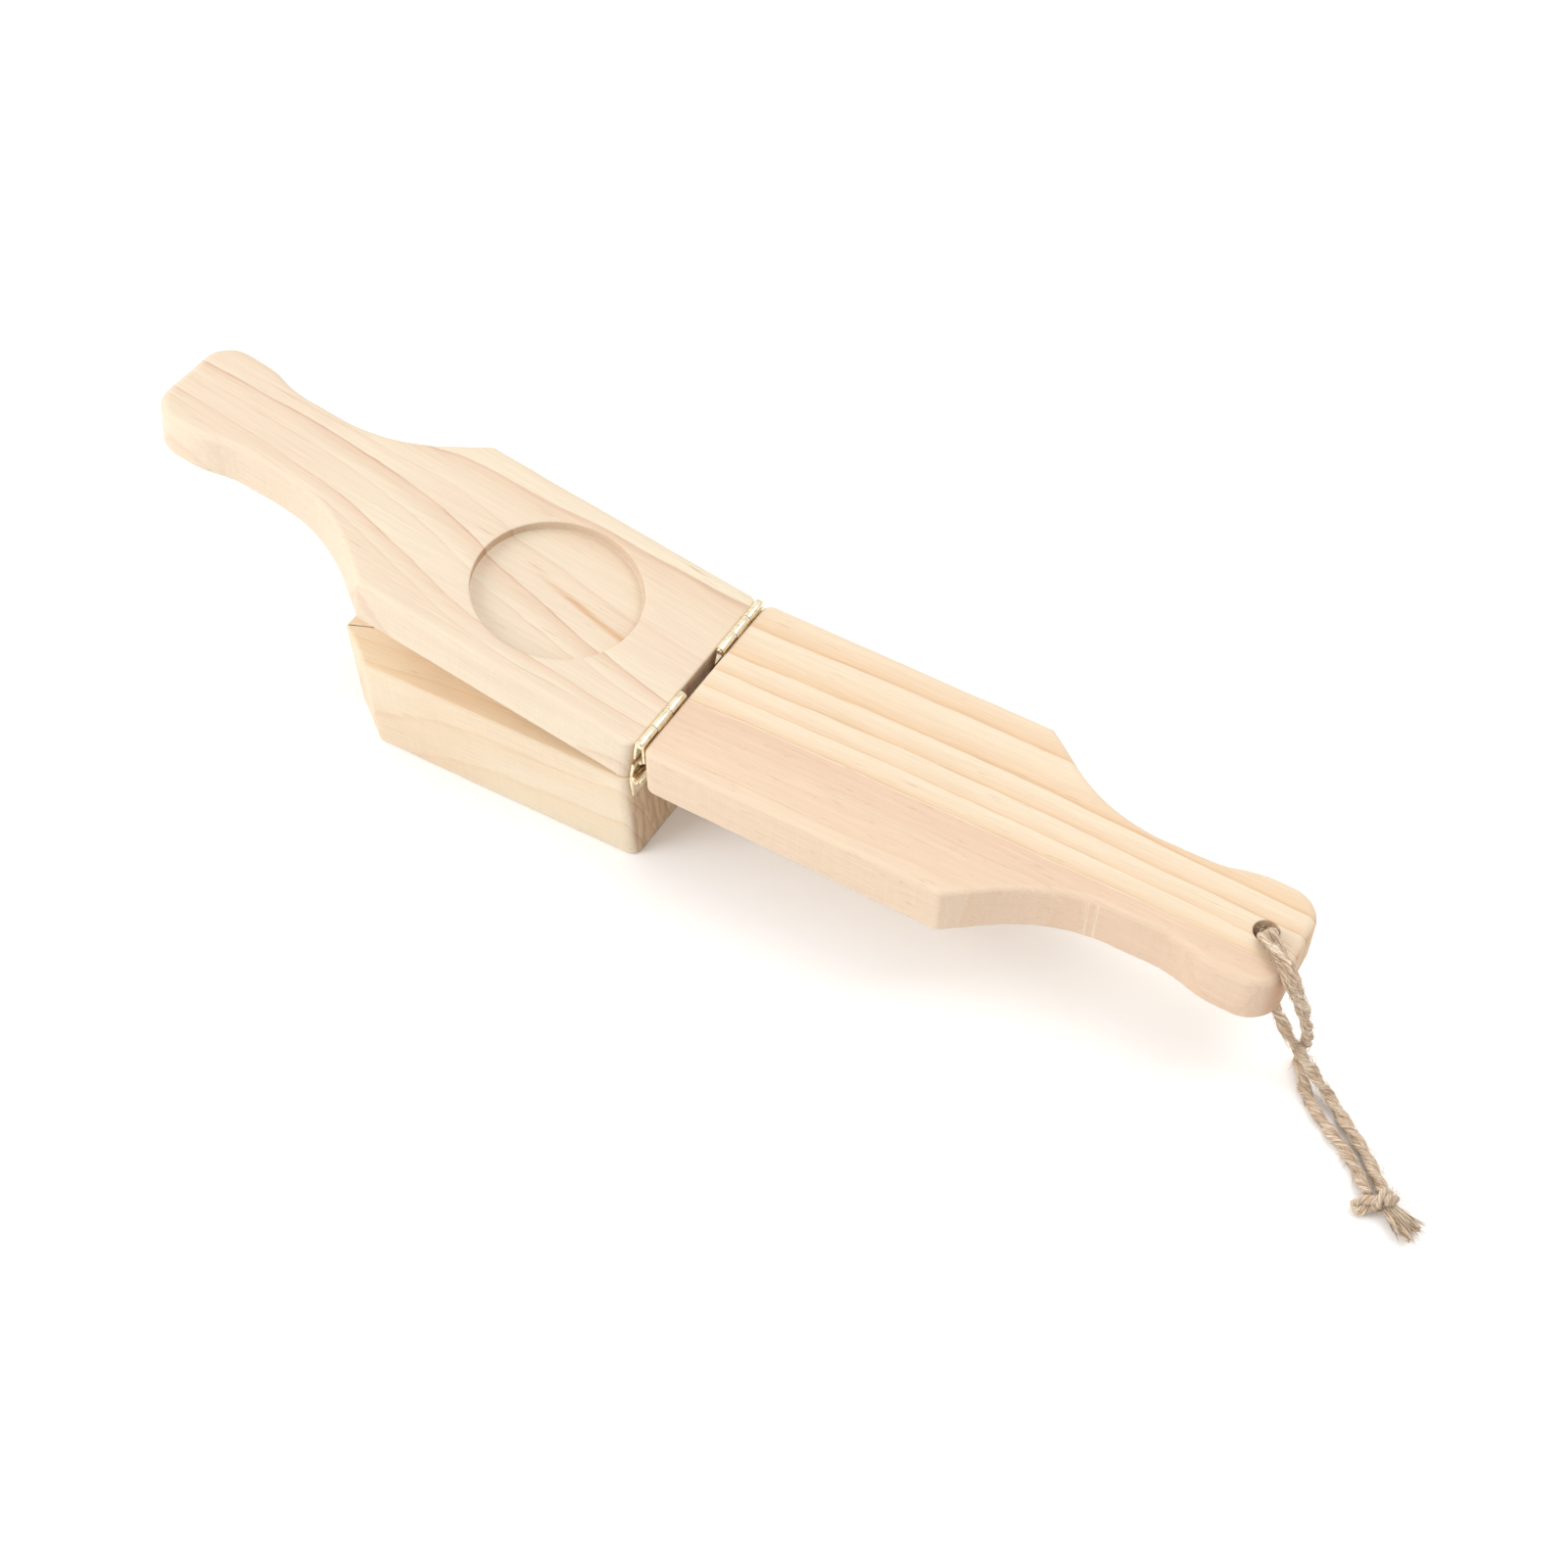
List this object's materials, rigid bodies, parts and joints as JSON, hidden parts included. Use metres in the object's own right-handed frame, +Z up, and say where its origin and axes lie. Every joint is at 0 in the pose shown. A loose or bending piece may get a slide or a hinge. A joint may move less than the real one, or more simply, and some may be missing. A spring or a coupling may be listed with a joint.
{
  "type": "wooden plantain press",
  "caption": "Hinged pine plantain press: cup block, recessed mould paddle with plunger, and flat paddle, joined by small brass hinges, with a twine hanging loop.",
  "frame": {"origin": "centre of the cup block's underside, which is the face that the press stands on", "axes": "+X along the boards from the block towards the flat paddle, +Y towards the back, +Z up"},
  "size_m": [0.4772, 0.0879, 0.1008],
  "materials": {
    "block_wood": "sanded, unfinished pine",
    "mould_paddle_wood": "sanded, unfinished pine",
    "flat_paddle_wood": "sanded, unfinished pine",
    "plunger_wood": "turned, sanded hardwood",
    "hinge_brass": "bright brass plate",
    "screw_brass": "bright brass plate",
    "twine": "twisted jute"
  },
  "bodies": {
    "block": {"cup_block": "block_wood", "base_front_block_leaf": "hinge_brass", "base_front_pin": "hinge_brass", "base_back_block_leaf": "hinge_brass", "base_back_pin": "hinge_brass", "base_front_block_screws": "screw_brass", "base_back_block_screws": "screw_brass"},
    "mould_paddle": {"mould_paddle": "mould_paddle_wood", "plunger": "plunger_wood", "base_front_mould_leaf": "hinge_brass", "base_back_mould_leaf": "hinge_brass", "base_front_mould_screws": "screw_brass", "base_back_mould_screws": "screw_brass", "fold_front_mould_leaf": "hinge_brass", "fold_front_pin": "hinge_brass", "fold_back_mould_leaf": "hinge_brass", "fold_back_pin": "hinge_brass", "fold_front_mould_screws": "screw_brass", "fold_back_mould_screws": "screw_brass"},
    "flat_paddle": {"flat_paddle": "flat_paddle_wood", "fold_front_flat_leaf": "hinge_brass", "fold_back_flat_leaf": "hinge_brass", "fold_front_flat_screws": "screw_brass", "fold_back_flat_screws": "screw_brass", "twine_upper": "twine", "twine_lower": "twine", "twine_knot": "twine", "twine_tails": "twine"}
  },
  "joints": [
    {"name": "mould_paddle_lift", "type": "hinge", "parent": "block", "child": "mould_paddle", "pos_m": [0.0631, 0, 0.0382], "axis": [0, 1, 0], "range_deg": [0, 78]},
    {"name": "flat_paddle_fold", "type": "hinge", "parent": "mould_paddle", "child": "flat_paddle", "pos_m": [0.0672, 0, 0.05716], "axis": [0, -1, 0], "range_deg": [0, 168.8]}
  ]
}
